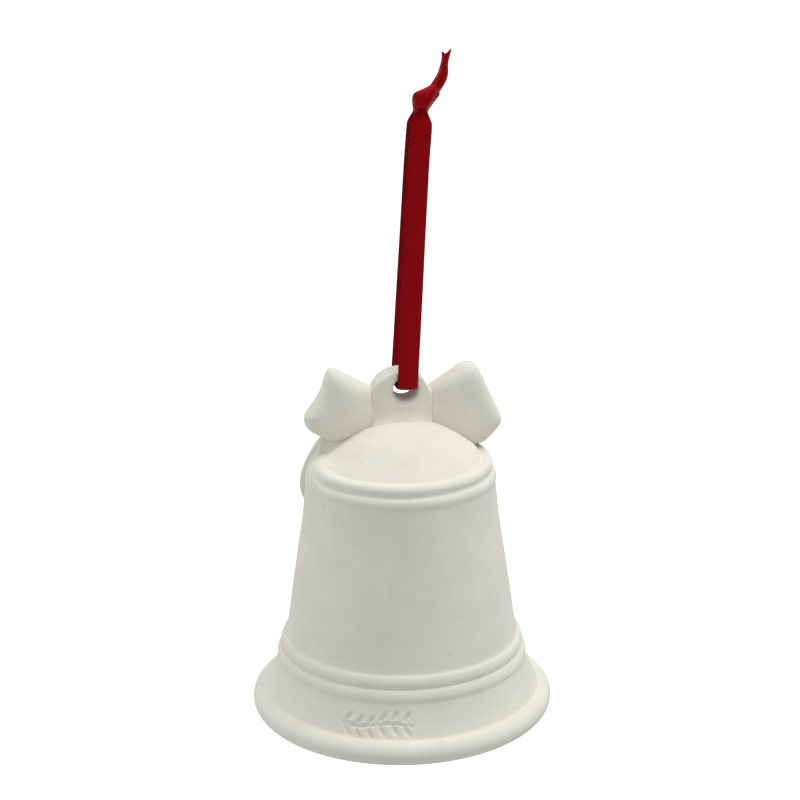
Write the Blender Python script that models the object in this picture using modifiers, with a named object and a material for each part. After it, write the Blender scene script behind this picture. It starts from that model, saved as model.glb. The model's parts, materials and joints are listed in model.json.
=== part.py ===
"""Ceramic bell ornament with a bow, hung by a ribbon loop. Metres, +Z up (plumb).

The world origin is the inside top of the ribbon loop, where a hook or a twig takes it.
The ribbon hangs from there and goes through the hole in the bow's middle. The bell hangs
on the ribbon at that hole, which lies off the bell's axis, so the bell hangs tilted.
Bell pieces are modelled upright on the middle of the mouth and hang on one empty.
"""
from math import cos, pi, radians, sin, sqrt

import bmesh
import bpy
from mathutils import Matrix, Vector

GAP = 0.0003

# Bell wall: outside radius and height above the foot.
LIP_RADIUS = 0.0425
LIP_ROLL = 0.0033
FOOT_INNER = 0.0381
FOOT_OUTER = 0.0401
FOOT_EASE = (0.0008, 0.0010)
SKIRT = [(0.0399, 0.0067), (0.0385, 0.0082), (0.0373, 0.0103), (0.0362, 0.0132), (0.0354, 0.0158)]
LOW_BEADS = [(0.0338, 0.0177, 0.0017), (0.0328, 0.0212, 0.0017)]
WAIST = [(0.0328, 0.0240), (0.0316, 0.0300), (0.0305, 0.0380), (0.0290, 0.0480), (0.0275, 0.0580),
         (0.0266, 0.0668)]
HIGH_BEADS = [(0.0252, 0.0698, 0.0015), (0.0240, 0.0729, 0.0015)]
DOME_BASE = 0.0228
DOME_FOOT = 0.0745
DOME_TOP = 0.0844
DOME_POWER = 2.3
WALL = 0.0035
CROWN_INSET = 0.0022
CROWN_DROP = 0.0030
TURN_STEPS = 56

# Bow: outlines in the plane of the bow, x across and z up.
BOW_MIDDLE = 0.0055
TAB_THICKNESS = 0.0070
LOOP_THICKNESS = 0.0094
BOW_ROUND = 0.0024
LOOP_UNDERSIDE = 0.0745
TAB_ROUND = 0.0014
TAB_OUTLINE = [(-0.0073, 0.0790), (-0.0073, 0.0927), (-0.0048, 0.0966), (0.0012, 0.0986),
               (0.0069, 0.0960), (0.0092, 0.0921), (0.0092, 0.0790)]
LEFT_OUTLINE = [(-0.0076, 0.0934), (-0.0132, 0.0974), (-0.0188, 0.0995), (-0.0212, 0.0942),
                (-0.0262, 0.0858), (-0.0222, 0.0798), (-0.0150, 0.0760), (-0.0076, 0.0790)]
RIGHT_OUTLINE = [(0.0095, 0.0929), (0.0155, 0.0968), (0.0215, 0.0993), (0.0249, 0.0930),
                 (0.0297, 0.0815), (0.0238, 0.0754), (0.0150, 0.0760), (0.0095, 0.0790)]
HOLE_X = 0.0021
HOLE_Z = 0.0931
HOLE_RADIUS = 0.00335
HOLE_CUT_LENGTH = 0.0200
LOOP_ROOM = (0.0800, 0.0400, 0.0400)

# Bow tails: radius, height, and the near and far edge's angle from the front of the bell.
TAIL_STATIONS = [(0.0140, 0.0842, 40.0, 14.0), (0.0185, 0.0810, 58.0, 24.0), (0.0228, 0.0778, 66.0, 30.0),
                 (0.0264, 0.0736, 68.0, 38.0), (0.0283, 0.0690, 68.5, 43.0), (0.0289, 0.0640, 68.0, 46.0),
                 (0.0290, 0.0590, 66.0, 50.0)]
TAIL_ACROSS = 8
TAIL_DEPTH = 0.0060

# Clapper: the eye's wire runs front to back under the crown.
PLUG_RADIUS = 0.0048
PLUG_FOOT_RADIUS = 0.0038
PLUG_TOP = 0.0803
PLUG_BOTTOM = 0.0752
WIRE_RADIUS = 0.0006
EYE_HALF = 0.0024
EYE_CENTRE_Z = 0.0734
EYE_LEG_TOP = 0.0778
LEG_BORE_DEPTH = 0.0060
HOOK_RADIUS = 0.0017
# Middle line from the hook to the straight shank: across, and down from the hook's underside.
HOOK_NECK = [(-0.0006, 0.0004), (-0.0001, 0.0012), (0.0, 0.0022)]
BALL_DROP = 0.0510
BALL_RADIUS = 0.0070
BALL_BORE = 0.0009
STOP_RADIUS = 0.0018
STOP_FACE_RADIUS = 0.00144
STOP_HEIGHT = 0.0024
WIRE_END_DROP = 0.0620

# Ribbon loop, knot and tails.
RIBBON_HALF_WIDTH = 0.00285
RIBBON_THICKNESS = 0.0005
STRAND_DROP = 0.0754
HOLE_BELOW_STRAND = 0.0003
RIBBON_LEAN = radians(1.1)
BELL_TILT = radians(-2.3)
STRAND_CLEAR = 0.0041
STRAND_SPREAD_RISE = 0.0075
STRAND_SHOULDER = (0.0022, -0.0060)
STRAND_TOP = (0.00045, 0.0007)
TURN_RADIUS = 0.0009
KNOT_SIZE = (0.0070, 0.0056, 0.0072)
KNOT_CENTRE = (0.0009, 0.0, 0.0046)
RIBBON_TAILS = {"ribbon_long_tail": ((0.0031, -0.0009, 0.0086), (0.0076, -0.0009, 0.0176)),
                "ribbon_short_tail": ((0.0024, 0.0009, 0.0086), (0.0056, 0.0009, 0.0162))}
TAIL_SECTION = (0.0008, 0.0015)

for old in list(bpy.data.objects):
    bpy.data.objects.remove(old)

parts = bpy.data.collections.new("christmas_bell_ornament")
cutters = bpy.data.collections.new("cutters")
bpy.context.scene.collection.children.link(parts)
bpy.context.scene.collection.children.link(cutters)


def material(name, colour, roughness, metallic=0.0):
    """A Principled material of one colour."""
    mat = bpy.data.materials.new(name)
    mat.use_nodes = True
    bsdf = mat.node_tree.nodes["Principled BSDF"]
    bsdf.inputs["Base Color"].default_value = (*colour, 1.0)
    bsdf.inputs["Roughness"].default_value = roughness
    bsdf.inputs["Metallic"].default_value = metallic
    return mat


BISQUE = (0.76, 0.75, 0.68)
BRASS = (0.62, 0.46, 0.20)
RED = (0.19, 0.003, 0.008)


def add_object(name, data, parent=None, colour=BISQUE, roughness=0.85, metallic=0.0):
    """Links a new object to the parts, under its parent and with its own material."""
    obj = bpy.data.objects.new(name, data)
    parts.objects.link(obj)
    obj.parent = parent
    data.materials.append(material(name, colour, roughness, metallic))
    return obj


def add_cutter(name, data, parent=None):
    """Links an object that only cuts."""
    obj = bpy.data.objects.new(name, data)
    cutters.objects.link(obj)
    obj.parent = parent
    obj.hide_render = True
    obj.display_type = "WIRE"
    return obj


def mesh_from(bm, name):
    """Turns a bmesh into a mesh and frees it."""
    mesh = bpy.data.meshes.new(name)
    bm.to_mesh(mesh)
    bm.free()
    return mesh


def smooth(obj, angle=40.0):
    """Shades a round mesh smooth, with its sharp edges kept."""
    obj.data.shade_smooth()
    obj.data.set_sharp_from_angle(angle=radians(angle))


def cut(obj, cutter):
    """Takes the cutter's shape out of an object."""
    mod = obj.modifiers.new("cut " + cutter.name, "BOOLEAN")
    mod.operation = "DIFFERENCE"
    mod.solver = "EXACT"
    mod.object = cutter


def turn(obj, steps):
    """Turns an open profile in the XZ plane about Z."""
    mod = obj.modifiers.new("turn", "SCREW")
    mod.steps = steps
    mod.render_steps = steps
    mod.use_merge_vertices = True
    mod.merge_threshold = 0.00001


def profile_mesh(name, points):
    """A line of edges through (radius, height) points."""
    mesh = bpy.data.meshes.new(name)
    mesh.from_pydata([(r, 0.0, z) for r, z in points], [(i, i + 1) for i in range(len(points) - 1)], [])
    return mesh


def arc(centre, radius, start, end, count):
    """Points on an arc, angles in degrees from +X."""
    angles = [radians(start + (end - start) * i / (count - 1)) for i in range(count)]
    return [(centre[0] + radius * cos(a), centre[1] + radius * sin(a)) for a in angles]


def dome_height(radius, base, foot, top):
    """Height of the dome at a radius: rise * (1 - (radius / base) ** power)."""
    return foot + (top - foot) * (1.0 - (radius / base) ** DOME_POWER)


def dome_points(base, foot, top, count):
    """The dome from its top to its foot, closer together towards the foot."""
    radii = [base * sin(0.5 * pi * i / (count - 1)) for i in range(count)]
    return [(r, dome_height(r, base, foot, top)) for r in radii]


def bead_points(bead):
    """A half-round bead, top to bottom, on a wall that slopes out as it goes down."""
    radius, height, size = bead
    return arc((radius, height), size, 70.0, -70.0, 5)


def outer_profile():
    """The outside from the top of the dome to the foot."""
    points = dome_points(DOME_BASE, DOME_FOOT, DOME_TOP, 9)
    for bead in reversed(HIGH_BEADS):
        points += bead_points(bead)
    points += reversed(WAIST)
    for bead in reversed(LOW_BEADS):
        points += bead_points(bead)
    points += reversed(SKIRT)
    roll_centre = (LIP_RADIUS - LIP_ROLL, LIP_ROLL)
    points += arc(roll_centre, LIP_ROLL, 45.0, -65.0, 7)
    points += [(FOOT_OUTER, 0.0)]
    return points


def inner_profile():
    """The inside from the foot up to the crown."""
    points = [(FOOT_INNER, 0.0), (FOOT_INNER - FOOT_EASE[0], FOOT_EASE[1])]
    points += [(r - WALL, z) for r, z in SKIRT[1:]]
    points += [(r - WALL, z) for r, z in WAIST]
    crown = dome_points(DOME_BASE - CROWN_INSET, DOME_FOOT - CROWN_DROP, DOME_TOP - WALL, 7)
    points += reversed(crown)
    return points


def prism(name, outline, thickness):
    """An outline in the XZ plane, given a thickness along Y about the bow's middle."""
    bm = bmesh.new()
    near = BOW_MIDDLE - thickness / 2.0
    face = bm.faces.new([bm.verts.new((x, near, z)) for x, z in outline])
    grown = bmesh.ops.extrude_face_region(bm, geom=[face])
    moved = [v for v in grown["geom"] if isinstance(v, bmesh.types.BMVert)]
    bmesh.ops.translate(bm, verts=moved, vec=(0.0, thickness, 0.0))
    bmesh.ops.recalc_face_normals(bm, faces=bm.faces)
    return mesh_from(bm, name)


def rounded(obj, width, segments):
    """Rounds the edges of a prism."""
    mod = obj.modifiers.new("round", "BEVEL")
    mod.width = width
    mod.segments = segments
    mod.limit_method = "ANGLE"
    mod.angle_limit = radians(25.0)


def wire(name, points, radius, parent=None, colour=BRASS, resolution=2):
    """A round wire along a line of points."""
    curve = bpy.data.curves.new(name, "CURVE")
    curve.dimensions = "3D"
    curve.bevel_depth = radius
    curve.bevel_resolution = resolution
    curve.render_resolution_u = 0
    curve.use_fill_caps = True
    spline = curve.splines.new("POLY")
    spline.points.add(len(points) - 1)
    for point, place in zip(spline.points, points):
        point.co = (*place, 1.0)
    return add_object(name, curve, parent, colour, 0.35, 1.0)


def cylinder_mesh(name, radius, depth, segments, matrix=Matrix.Identity(4), top_radius=None):
    """A closed cylinder or cone about Z, moved by a matrix."""
    bm = bmesh.new()
    bmesh.ops.create_cone(bm, cap_ends=True, segments=segments, radius1=radius,
                          radius2=radius if top_radius is None else top_radius, depth=depth, matrix=matrix)
    return mesh_from(bm, name)


# Frames: the ribbon leans, the bell tilts about the hole, and the clapper hangs plumb.
hole_local = Vector((HOLE_X, BOW_MIDDLE, HOLE_Z))
hole_drop = Vector((0.0, 0.0, -STRAND_DROP - HOLE_BELOW_STRAND))
hole_world = Matrix.Rotation(RIBBON_LEAN, 3, "Y") @ hole_drop
bell_matrix = (Matrix.Translation(hole_world) @ Matrix.Rotation(BELL_TILT, 4, "Y")
               @ Matrix.Translation(-hole_local))
eye_local = Vector((0.0, 0.0, EYE_CENTRE_Z - EYE_HALF))
eye_world = bell_matrix @ eye_local


def empty(name, matrix):
    """A frame that pieces hang on."""
    obj = bpy.data.objects.new(name, None)
    parts.objects.link(obj)
    obj.matrix_world = matrix
    return obj


bell_frame = empty("bell_frame", bell_matrix)
clapper_frame = empty("clapper_frame", Matrix.Translation(eye_world))
ribbon_frame = empty("ribbon_frame", Matrix.Rotation(RIBBON_LEAN, 4, "Y"))


def bell():
    """The hollow bell: outside down to the foot, then up the inside."""
    shell = add_object("bell_shell", profile_mesh("bell_shell", outer_profile() + inner_profile()), bell_frame)
    turn(shell, TURN_STEPS)
    smooth(shell)


def seat_cutter():
    """The bell's outside grown by the gap, which the bow sits on."""
    outside = [(r, z) for r, z in outer_profile() if z > WAIST[3][1]]
    grown = [(r + GAP if r else 0.0, z + GAP if z > DOME_FOOT else z) for r, z in outside]
    closed = grown + [(grown[-1][0], WAIST[2][1]), (0.0, WAIST[2][1])]
    cutter = add_cutter("bell_seat", profile_mesh("bell_seat", closed), bell_frame)
    turn(cutter, TURN_STEPS)
    return cutter


def hole_cutter():
    """The hanging hole, front to back through the bow's middle."""
    place = Matrix.Translation(hole_local) @ Matrix.Rotation(pi / 2.0, 4, "X")
    bore = cylinder_mesh("hanging_hole", HOLE_RADIUS, HOLE_CUT_LENGTH, 32, place)
    return add_cutter("hanging_hole", bore, bell_frame)


def bow(seat):
    """The bow's middle with its hole, and a loop on each side."""
    tab = add_object("bow_middle", prism("bow_middle", TAB_OUTLINE, TAB_THICKNESS), bell_frame)
    rounded(tab, TAB_ROUND, 2)
    cut(tab, seat)
    cut(tab, hole_cutter())
    for name, outline in (("bow_left_loop", LEFT_OUTLINE), ("bow_right_loop", RIGHT_OUTLINE)):
        loop = add_object(name, prism(name, outline, LOOP_THICKNESS), bell_frame)
        rounded(loop, BOW_ROUND, 3)
        cut(loop, seat)


def loop_cutter():
    """The room behind the loops' front faces, which the tails stay out of."""
    front = BOW_MIDDLE + LOOP_THICKNESS / 2.0 + GAP
    size = Vector(LOOP_ROOM)
    middle = Vector((0.0, front - size.y / 2.0, LOOP_UNDERSIDE + size.z / 2.0))
    bm = bmesh.new()
    bmesh.ops.create_cube(bm, size=1.0)
    bmesh.ops.scale(bm, vec=size, verts=bm.verts)
    bmesh.ops.translate(bm, vec=middle, verts=bm.verts)
    return add_cutter("loop_room", mesh_from(bm, "loop_room"), bell_frame)


def bow_tail(name, side, seat, room):
    """A tail in relief: a curved band over the shoulder, filled down to the bell."""
    bm = bmesh.new()
    rows = []
    for radius, height, near, far in TAIL_STATIONS:
        angles = [radians(near + (far - near) * i / TAIL_ACROSS) for i in range(TAIL_ACROSS + 1)]
        rows.append([bm.verts.new((side * radius * sin(a), radius * cos(a), height)) for a in angles])
    for upper, lower in zip(rows, rows[1:]):
        for i in range(TAIL_ACROSS):
            quad = (upper[i], upper[i + 1], lower[i + 1], lower[i])
            bm.faces.new(quad if side < 0 else quad[::-1])
    tail = add_object(name, mesh_from(bm, name), bell_frame)
    thick = tail.modifiers.new("thickness", "SOLIDIFY")
    thick.thickness = TAIL_DEPTH
    thick.offset = -1.0
    cut(tail, room)
    cut(tail, seat)


def crown():
    """The plug under the crown and the wire eye set in it."""
    middle = Matrix.Translation((0.0, 0.0, (PLUG_TOP + PLUG_BOTTOM) / 2.0))
    depth = PLUG_TOP - PLUG_BOTTOM
    body = cylinder_mesh("crown_plug", PLUG_FOOT_RADIUS, depth, 32, middle, PLUG_RADIUS)
    plug = add_object("crown_plug", body, bell_frame)
    for side in (-1.0, 1.0):
        middle = Matrix.Translation((0.0, side * EYE_HALF, EYE_LEG_TOP + GAP - LEG_BORE_DEPTH / 2.0))
        bore = cylinder_mesh("leg_bore", WIRE_RADIUS + GAP, LEG_BORE_DEPTH, 12, middle)
        cut(plug, add_cutter("leg_bore", bore, bell_frame))
    bend = [(0.0, y, z) for y, z in arc((0.0, EYE_CENTRE_Z), EYE_HALF, 0.0, -180.0, 13)]
    legs = [(0.0, EYE_HALF, EYE_LEG_TOP)] + bend + [(0.0, -EYE_HALF, EYE_LEG_TOP)]
    wire("clapper_eye", legs, WIRE_RADIUS, bell_frame)


def clapper():
    """The wire hooked in the eye, with the ball and its stop; the hook is round the pivot."""
    ring = [(x, 0.0, z) for x, z in arc((0.0, 0.0), HOOK_RADIUS, -62.0, 235.0, 20)]
    neck = [(across, 0.0, -HOOK_RADIUS - down) for across, down in HOOK_NECK]
    wire("clapper_wire", ring + neck + [(0.0, 0.0, -WIRE_END_DROP)], WIRE_RADIUS, clapper_frame)
    ball_arc = arc((0.0, -BALL_DROP), BALL_RADIUS, 82.0, -82.0, 17)
    bore_top = (BALL_BORE, -BALL_DROP + sqrt(BALL_RADIUS ** 2 - BALL_BORE ** 2))
    bore_end = (BALL_BORE, -BALL_DROP - sqrt(BALL_RADIUS ** 2 - BALL_BORE ** 2))
    ball_mesh = profile_mesh("clapper_ball", [bore_top] + ball_arc + [bore_end, bore_top])
    ball = add_object("clapper_ball", ball_mesh, clapper_frame)
    turn(ball, 32)
    smooth(ball)
    top = -BALL_DROP - BALL_RADIUS - GAP
    bottom = top - STOP_HEIGHT
    ring_profile = [(BALL_BORE, top), (STOP_FACE_RADIUS, top), (STOP_RADIUS, (top + bottom) / 2.0),
                    (STOP_FACE_RADIUS, bottom), (BALL_BORE, bottom), (BALL_BORE, top)]
    stop_mesh = profile_mesh("clapper_stop", ring_profile)
    stop = add_object("clapper_stop", stop_mesh, clapper_frame, BRASS, 0.35, 1.0)
    turn(stop, 20)


def strip(name, path, half_width, thickness, parent):
    """A flat ribbon: a line of (y, z) points drawn out along X and given a thickness."""
    bm = bmesh.new()
    line = [bm.verts.new((-half_width, y, z)) for y, z in path]
    edges = [bm.edges.new(pair) for pair in zip(line, line[1:])]
    drawn = bmesh.ops.extrude_edge_only(bm, edges=edges)
    moved = [v for v in drawn["geom"] if isinstance(v, bmesh.types.BMVert)]
    bmesh.ops.translate(bm, verts=moved, vec=(2.0 * half_width, 0.0, 0.0))
    bmesh.ops.recalc_face_normals(bm, faces=bm.faces)
    obj = add_object(name, mesh_from(bm, name), parent, RED, 0.35)
    mod = obj.modifiers.new("thickness", "SOLIDIFY")
    mod.thickness = thickness
    mod.offset = 0.0
    return obj


def ribbon_loop():
    """Down behind the bow, through the hole and up in front, one strand each side."""
    turn_z = -STRAND_DROP + TURN_RADIUS
    flat = STRAND_CLEAR - TURN_RADIUS
    spread_z = -STRAND_DROP + STRAND_SPREAD_RISE
    near_turn = arc((-flat, turn_z), TURN_RADIUS, 180.0, 270.0, 5)
    far_turn = arc((flat, turn_z), TURN_RADIUS, 270.0, 360.0, 5)
    up = [(STRAND_CLEAR, spread_z), STRAND_SHOULDER, STRAND_TOP]
    down = [(-y, z) for y, z in reversed(up)]
    strip("ribbon_loop", down + near_turn + far_turn + up, RIBBON_HALF_WIDTH, RIBBON_THICKNESS, ribbon_frame)


def ribbon_knot():
    """The knot as a rounded lump over the two strands."""
    bm = bmesh.new()
    bmesh.ops.create_uvsphere(bm, u_segments=20, v_segments=12, radius=0.5)
    bmesh.ops.scale(bm, vec=KNOT_SIZE, verts=bm.verts)
    bmesh.ops.translate(bm, vec=KNOT_CENTRE, verts=bm.verts)
    knot = add_object("ribbon_knot", mesh_from(bm, "ribbon_knot"), ribbon_frame, RED, 0.35)
    smooth(knot)


def ribbon_tails():
    """Two short ends standing on the knot, edge on, as slim leaning slabs."""
    for name, (start, end) in RIBBON_TAILS.items():
        run = Vector(end) - Vector(start)
        lean = Vector((0.0, 0.0, 1.0)).rotation_difference(run).to_matrix().to_4x4()
        bm = bmesh.new()
        bmesh.ops.create_cube(bm, size=1.0)
        bmesh.ops.scale(bm, vec=(*TAIL_SECTION, run.length), verts=bm.verts)
        middle = (Vector(start) + Vector(end)) / 2.0
        bmesh.ops.transform(bm, matrix=Matrix.Translation(middle) @ lean, verts=bm.verts)
        add_object(name, mesh_from(bm, name), ribbon_frame, RED, 0.35)


bell()
bell_seat = seat_cutter()
bow(bell_seat)
loop_room = loop_cutter()
bow_tail("bow_left_tail", -1.0, bell_seat, loop_room)
bow_tail("bow_right_tail", 1.0, bell_seat, loop_room)
crown()
clapper()
ribbon_loop()
ribbon_knot()
ribbon_tails()
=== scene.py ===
"""An unglazed ceramic bell ornament with a bow, hung by a knotted satin ribbon."""
import json
from math import atan2, cos, pi, radians, sin

import bpy
import numpy as np
from mathutils import Matrix, Vector


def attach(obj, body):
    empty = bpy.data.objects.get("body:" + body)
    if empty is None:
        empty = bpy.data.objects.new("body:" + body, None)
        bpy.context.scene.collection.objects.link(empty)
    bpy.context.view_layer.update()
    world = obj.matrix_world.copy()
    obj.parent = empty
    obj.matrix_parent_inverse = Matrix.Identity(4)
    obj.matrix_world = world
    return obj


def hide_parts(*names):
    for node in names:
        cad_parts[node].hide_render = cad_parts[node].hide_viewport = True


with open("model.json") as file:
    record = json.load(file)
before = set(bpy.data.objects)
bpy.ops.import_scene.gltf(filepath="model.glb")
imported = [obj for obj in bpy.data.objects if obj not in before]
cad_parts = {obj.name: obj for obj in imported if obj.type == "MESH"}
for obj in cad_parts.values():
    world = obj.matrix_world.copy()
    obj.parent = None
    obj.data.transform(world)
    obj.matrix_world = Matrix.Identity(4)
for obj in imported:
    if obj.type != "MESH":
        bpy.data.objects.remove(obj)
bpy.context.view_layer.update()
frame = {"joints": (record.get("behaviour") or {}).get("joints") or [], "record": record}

MM = 0.001
JOINTS = {joint["name"]: joint for joint in frame["joints"]}
MOUNTS = {mount["name"]: mount for mount in frame["record"]["mounts"]}

# ---------------------------------------------------------------- frames
# The ribbon hangs from the origin with a lean, the bell is tilted about its hanging hole, and the
# clapper hangs plumb from the eye. A point of the bell is given upright, from the middle of the mouth.
HOLE = np.array(JOINTS["bell_swing"]["pos_m"])
EYE = np.array(JOINTS["clapper_swing"]["pos_m"])
BALL = np.array(JOINTS["ball_spin"]["pos_m"])
FOOT_AXIS = MOUNTS["foot_ring"]["axis"]
TILT = atan2(FOOT_AXIS[0], -FOOT_AXIS[2])
LEAN = atan2(-HOLE[0], -HOLE[2])
HOLE_IN_BELL = np.array([2.1, 5.5, 93.1]) * MM


def turned(points, angle):
    """Points turned about the Y axis: x' = x cos a + z sin a and z' = z cos a - x sin a."""
    x, y, z = np.moveaxis(np.asarray(points, float), -1, 0)
    return np.stack([x * cos(angle) + z * sin(angle), y, z * cos(angle) - x * sin(angle)], axis=-1)


def bell_place(points):
    """Upright bell points, brought to where the tilted bell hangs."""
    return turned(np.asarray(points) - HOLE_IN_BELL, -TILT) + HOLE


def ribbon_place(points):
    """Points of a plumb ribbon, leaned about the origin."""
    return turned(points, LEAN)


# ---------------------------------------------------------------- camera
CAMERA_AZIMUTH = radians(-11.0)
CAMERA_PITCH = radians(18.02)
CAMERA_ROLL = radians(-0.37)
CAMERA_DISTANCE = 0.573
CAMERA_HEIGHT = 0.2773
FOCAL_LENGTH = 98.55
SENSOR_WIDTH = 36.0


def make_camera():
    """Looks at the bell from behind, above and a little to the left, aimed as from the upright bell."""
    data = bpy.data.cameras.new("camera")
    data.lens = FOCAL_LENGTH
    data.sensor_width = SENSOR_WIDTH
    data.clip_start = 0.01
    data.clip_end = 50.0
    camera = bpy.data.objects.new("camera", data)
    bpy.context.scene.collection.objects.link(camera)
    round_axis = np.array([[cos(CAMERA_AZIMUTH), -sin(CAMERA_AZIMUTH), 0.0],
                           [sin(CAMERA_AZIMUTH), cos(CAMERA_AZIMUTH), 0.0], [0.0, 0.0, 1.0]])
    ahead = round_axis @ np.array([0.0, cos(CAMERA_PITCH), -sin(CAMERA_PITCH)])
    up = round_axis @ np.array([0.0, sin(CAMERA_PITCH), cos(CAMERA_PITCH)])
    right = round_axis @ np.array([1.0, 0.0, 0.0])
    rolled_right = right * cos(CAMERA_ROLL) + up * sin(CAMERA_ROLL)
    rolled_up = up * cos(CAMERA_ROLL) - right * sin(CAMERA_ROLL)
    axes = turned(np.stack([rolled_right, rolled_up, -ahead]), -TILT).T
    place = bell_place(round_axis @ np.array([0.0, -CAMERA_DISTANCE, CAMERA_HEIGHT]))
    camera.matrix_world = Matrix.Translation(Vector(place)) @ Matrix(axes.tolist()).to_4x4()
    bpy.context.scene.camera = camera


make_camera()


# ---------------------------------------------------------------- mesh helpers
def build_mesh(name, verts, quads, tris=None, uv=None):
    """A smooth mesh from arrays: verts (n, 3), quads (q, 4) and tris (t, 3); uv is one pair a vertex."""
    tris = np.zeros((0, 3), int) if tris is None else np.asarray(tris, int)
    quads = np.asarray(quads, int).reshape(-1, 4)
    corners = np.concatenate([quads.ravel(), tris.ravel()])
    totals = np.concatenate([np.full(len(quads), 4), np.full(len(tris), 3)])
    starts = np.concatenate([[0], np.cumsum(totals)[:-1]])
    mesh = bpy.data.meshes.new(name)
    mesh.vertices.add(len(verts))
    mesh.vertices.foreach_set("co", np.ascontiguousarray(verts, np.float32).ravel())
    mesh.loops.add(len(corners))
    mesh.loops.foreach_set("vertex_index", corners.astype(np.int32))
    mesh.polygons.add(len(totals))
    mesh.polygons.foreach_set("loop_start", starts.astype(np.int32))
    mesh.update(calc_edges=True)
    mesh.validate()
    mesh.shade_smooth()
    if uv is not None:
        layer = mesh.uv_layers.new(name="along")
        layer.data.foreach_set("uv", np.asarray(uv, np.float32)[corners].ravel())
    obj = bpy.data.objects.new(name, mesh)
    bpy.context.scene.collection.objects.link(obj)
    return obj


def grid_quads(rows, columns, closed_rows=False, closed_columns=True):
    """Corner numbers of a rows x columns grid of points, row by row, wrapped where it is closed."""
    i = np.arange(rows if closed_rows else rows - 1)[:, None]
    j = np.arange(columns if closed_columns else columns - 1)[None, :]
    i2 = (i + 1) % rows
    j2 = (j + 1) % columns
    quads = np.stack([i * columns + j, i * columns + j2, i2 * columns + j2, i2 * columns + j], axis=-1)
    return quads.reshape(-1, 4)


def facing_outward(verts, quads, tris):
    """The same faces, turned round if the volume that they close comes out negative."""
    triangles = np.concatenate([quads[:, :3], quads[:, [0, 2, 3]], tris])
    a, b, c = (verts[triangles[:, k]] for k in range(3))
    if np.sum(a * np.cross(b, c)) < 0.0:
        return quads[:, ::-1], tris[:, ::-1]
    return quads, tris


def closed_grid(name, grid, uv=None):
    """A closed skin: rows of rings, each ring closed, with a pole put in the middle of the first and last."""
    rows, columns = grid.shape[:2]
    verts = np.concatenate([grid.reshape(-1, 3), grid[0].mean(axis=0)[None], grid[-1].mean(axis=0)[None]])
    ring = np.arange(columns)
    following = (ring + 1) % columns
    end = (rows - 1) * columns
    pole = np.full(columns, rows * columns)
    first_fan = np.stack([following, ring, pole], axis=-1)
    last_fan = np.stack([end + ring, end + following, pole + 1], axis=-1)
    tris = np.concatenate([first_fan, last_fan])
    quads, tris = facing_outward(verts, grid_quads(rows, columns), tris)
    if uv is not None:
        uv = np.concatenate([uv.reshape(-1, 2), uv[0].mean(axis=0)[None], uv[-1].mean(axis=0)[None]])
    return build_mesh(name, verts, quads, tris, uv)


def ring_grid(name, grid):
    """A closed skin shaped like a ring: closed along its rows and along its columns, with no poles."""
    rows, columns = grid.shape[:2]
    verts = grid.reshape(-1, 3)
    quads, tris = facing_outward(verts, grid_quads(rows, columns, closed_rows=True), np.zeros((0, 3), int))
    return build_mesh(name, verts, quads, tris)


def lengths_along(line):
    """Length of a line from its start to each of its points."""
    return np.concatenate([[0.0], np.cumsum(np.linalg.norm(np.diff(line, axis=0), axis=1))])


def directions_along(line):
    """The unit tangent at each point of a line."""
    tangent = np.gradient(line, axis=0)
    return tangent / np.linalg.norm(tangent, axis=1)[:, None]


SPAN_SAMPLES = 40


def smooth_line(points, count, closed=False):
    """A Catmull-Rom curve through given points, read at even steps of length."""
    points = np.asarray(points, float)
    if closed:
        knots = np.concatenate([points[-1:], points, points[:2]])
    else:
        knots = np.concatenate([2 * points[:1] - points[1:2], points, 2 * points[-1:] - points[-2:-1]])
    t = np.linspace(0.0, 1.0, SPAN_SAMPLES, endpoint=False)[:, None]
    spans = []
    for a, b, c, d in zip(knots, knots[1:], knots[2:], knots[3:]):
        spans.append(0.5 * (2 * b + (c - a) * t + (2 * a - 5 * b + 4 * c - d) * t ** 2
                            + (3 * b - a - 3 * c + d) * t ** 3))
    dense = np.concatenate(spans + [points[:1] if closed else points[-1:]])
    length = lengths_along(dense)
    wanted = np.linspace(0.0, length[-1], count, endpoint=not closed)
    return np.stack([np.interp(wanted, length, dense[:, k]) for k in range(dense.shape[1])], axis=-1)


def blur(values, width, closed=False):
    """Evenly spaced values averaged over a bell-shaped window of that many samples."""
    reach = int(3 * width)
    window = np.exp(-0.5 * (np.arange(-reach, reach + 1) / width) ** 2)
    window /= window.sum()
    padded = np.pad(values, reach, mode="wrap" if closed else "edge")
    return np.convolve(padded, window, mode="valid")


def step(value, low, high):
    """0 below low, 1 above high, and a smooth S between."""
    t = np.clip((value - low) / (high - low), 0.0, 1.0)
    return t * t * (3.0 - 2.0 * t)


def hump(value, middle, width):
    """A bell-shaped bump of height 1."""
    return np.exp(-0.5 * ((value - middle) / width) ** 2)


# ---------------------------------------------------------------- the ribbon, which is the cord
RIBBON_WIDTH = 5.8 * MM
RIBBON_THICKNESS = 0.30 * MM
SADDLE_Z = -75.4 * MM
LOOP_ROWS = 460
LOOP_SECTION = 56
END_ROWS = 130
END_SECTION = 72
# Middle line of the near strand and of the saddle in the hole, in millimetres. The far strand mirrors the
# near one and drifts less to the side.
NEAR_STRAND = [(0.70, -0.40, 1.7), (0.65, -0.60, 0.6), (0.60, -1.30, -0.9), (0.60, -1.95, -2.8),
               (0.50, -2.30, -6.0), (0.32, -2.50, -12.0), (0.28, -2.75, -22.0), (0.28, -3.15, -36.0),
               (0.28, -3.60, -50.0), (0.28, -4.00, -64.0), (0.25, -4.25, -70.0), (0.22, -4.40, -73.5),
               (0.22, -4.15, -74.95)]
SADDLE = [(0.20, -3.40, -75.38), (0.15, 0.0, -75.46), (0.15, 3.30, -75.38)]


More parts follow.
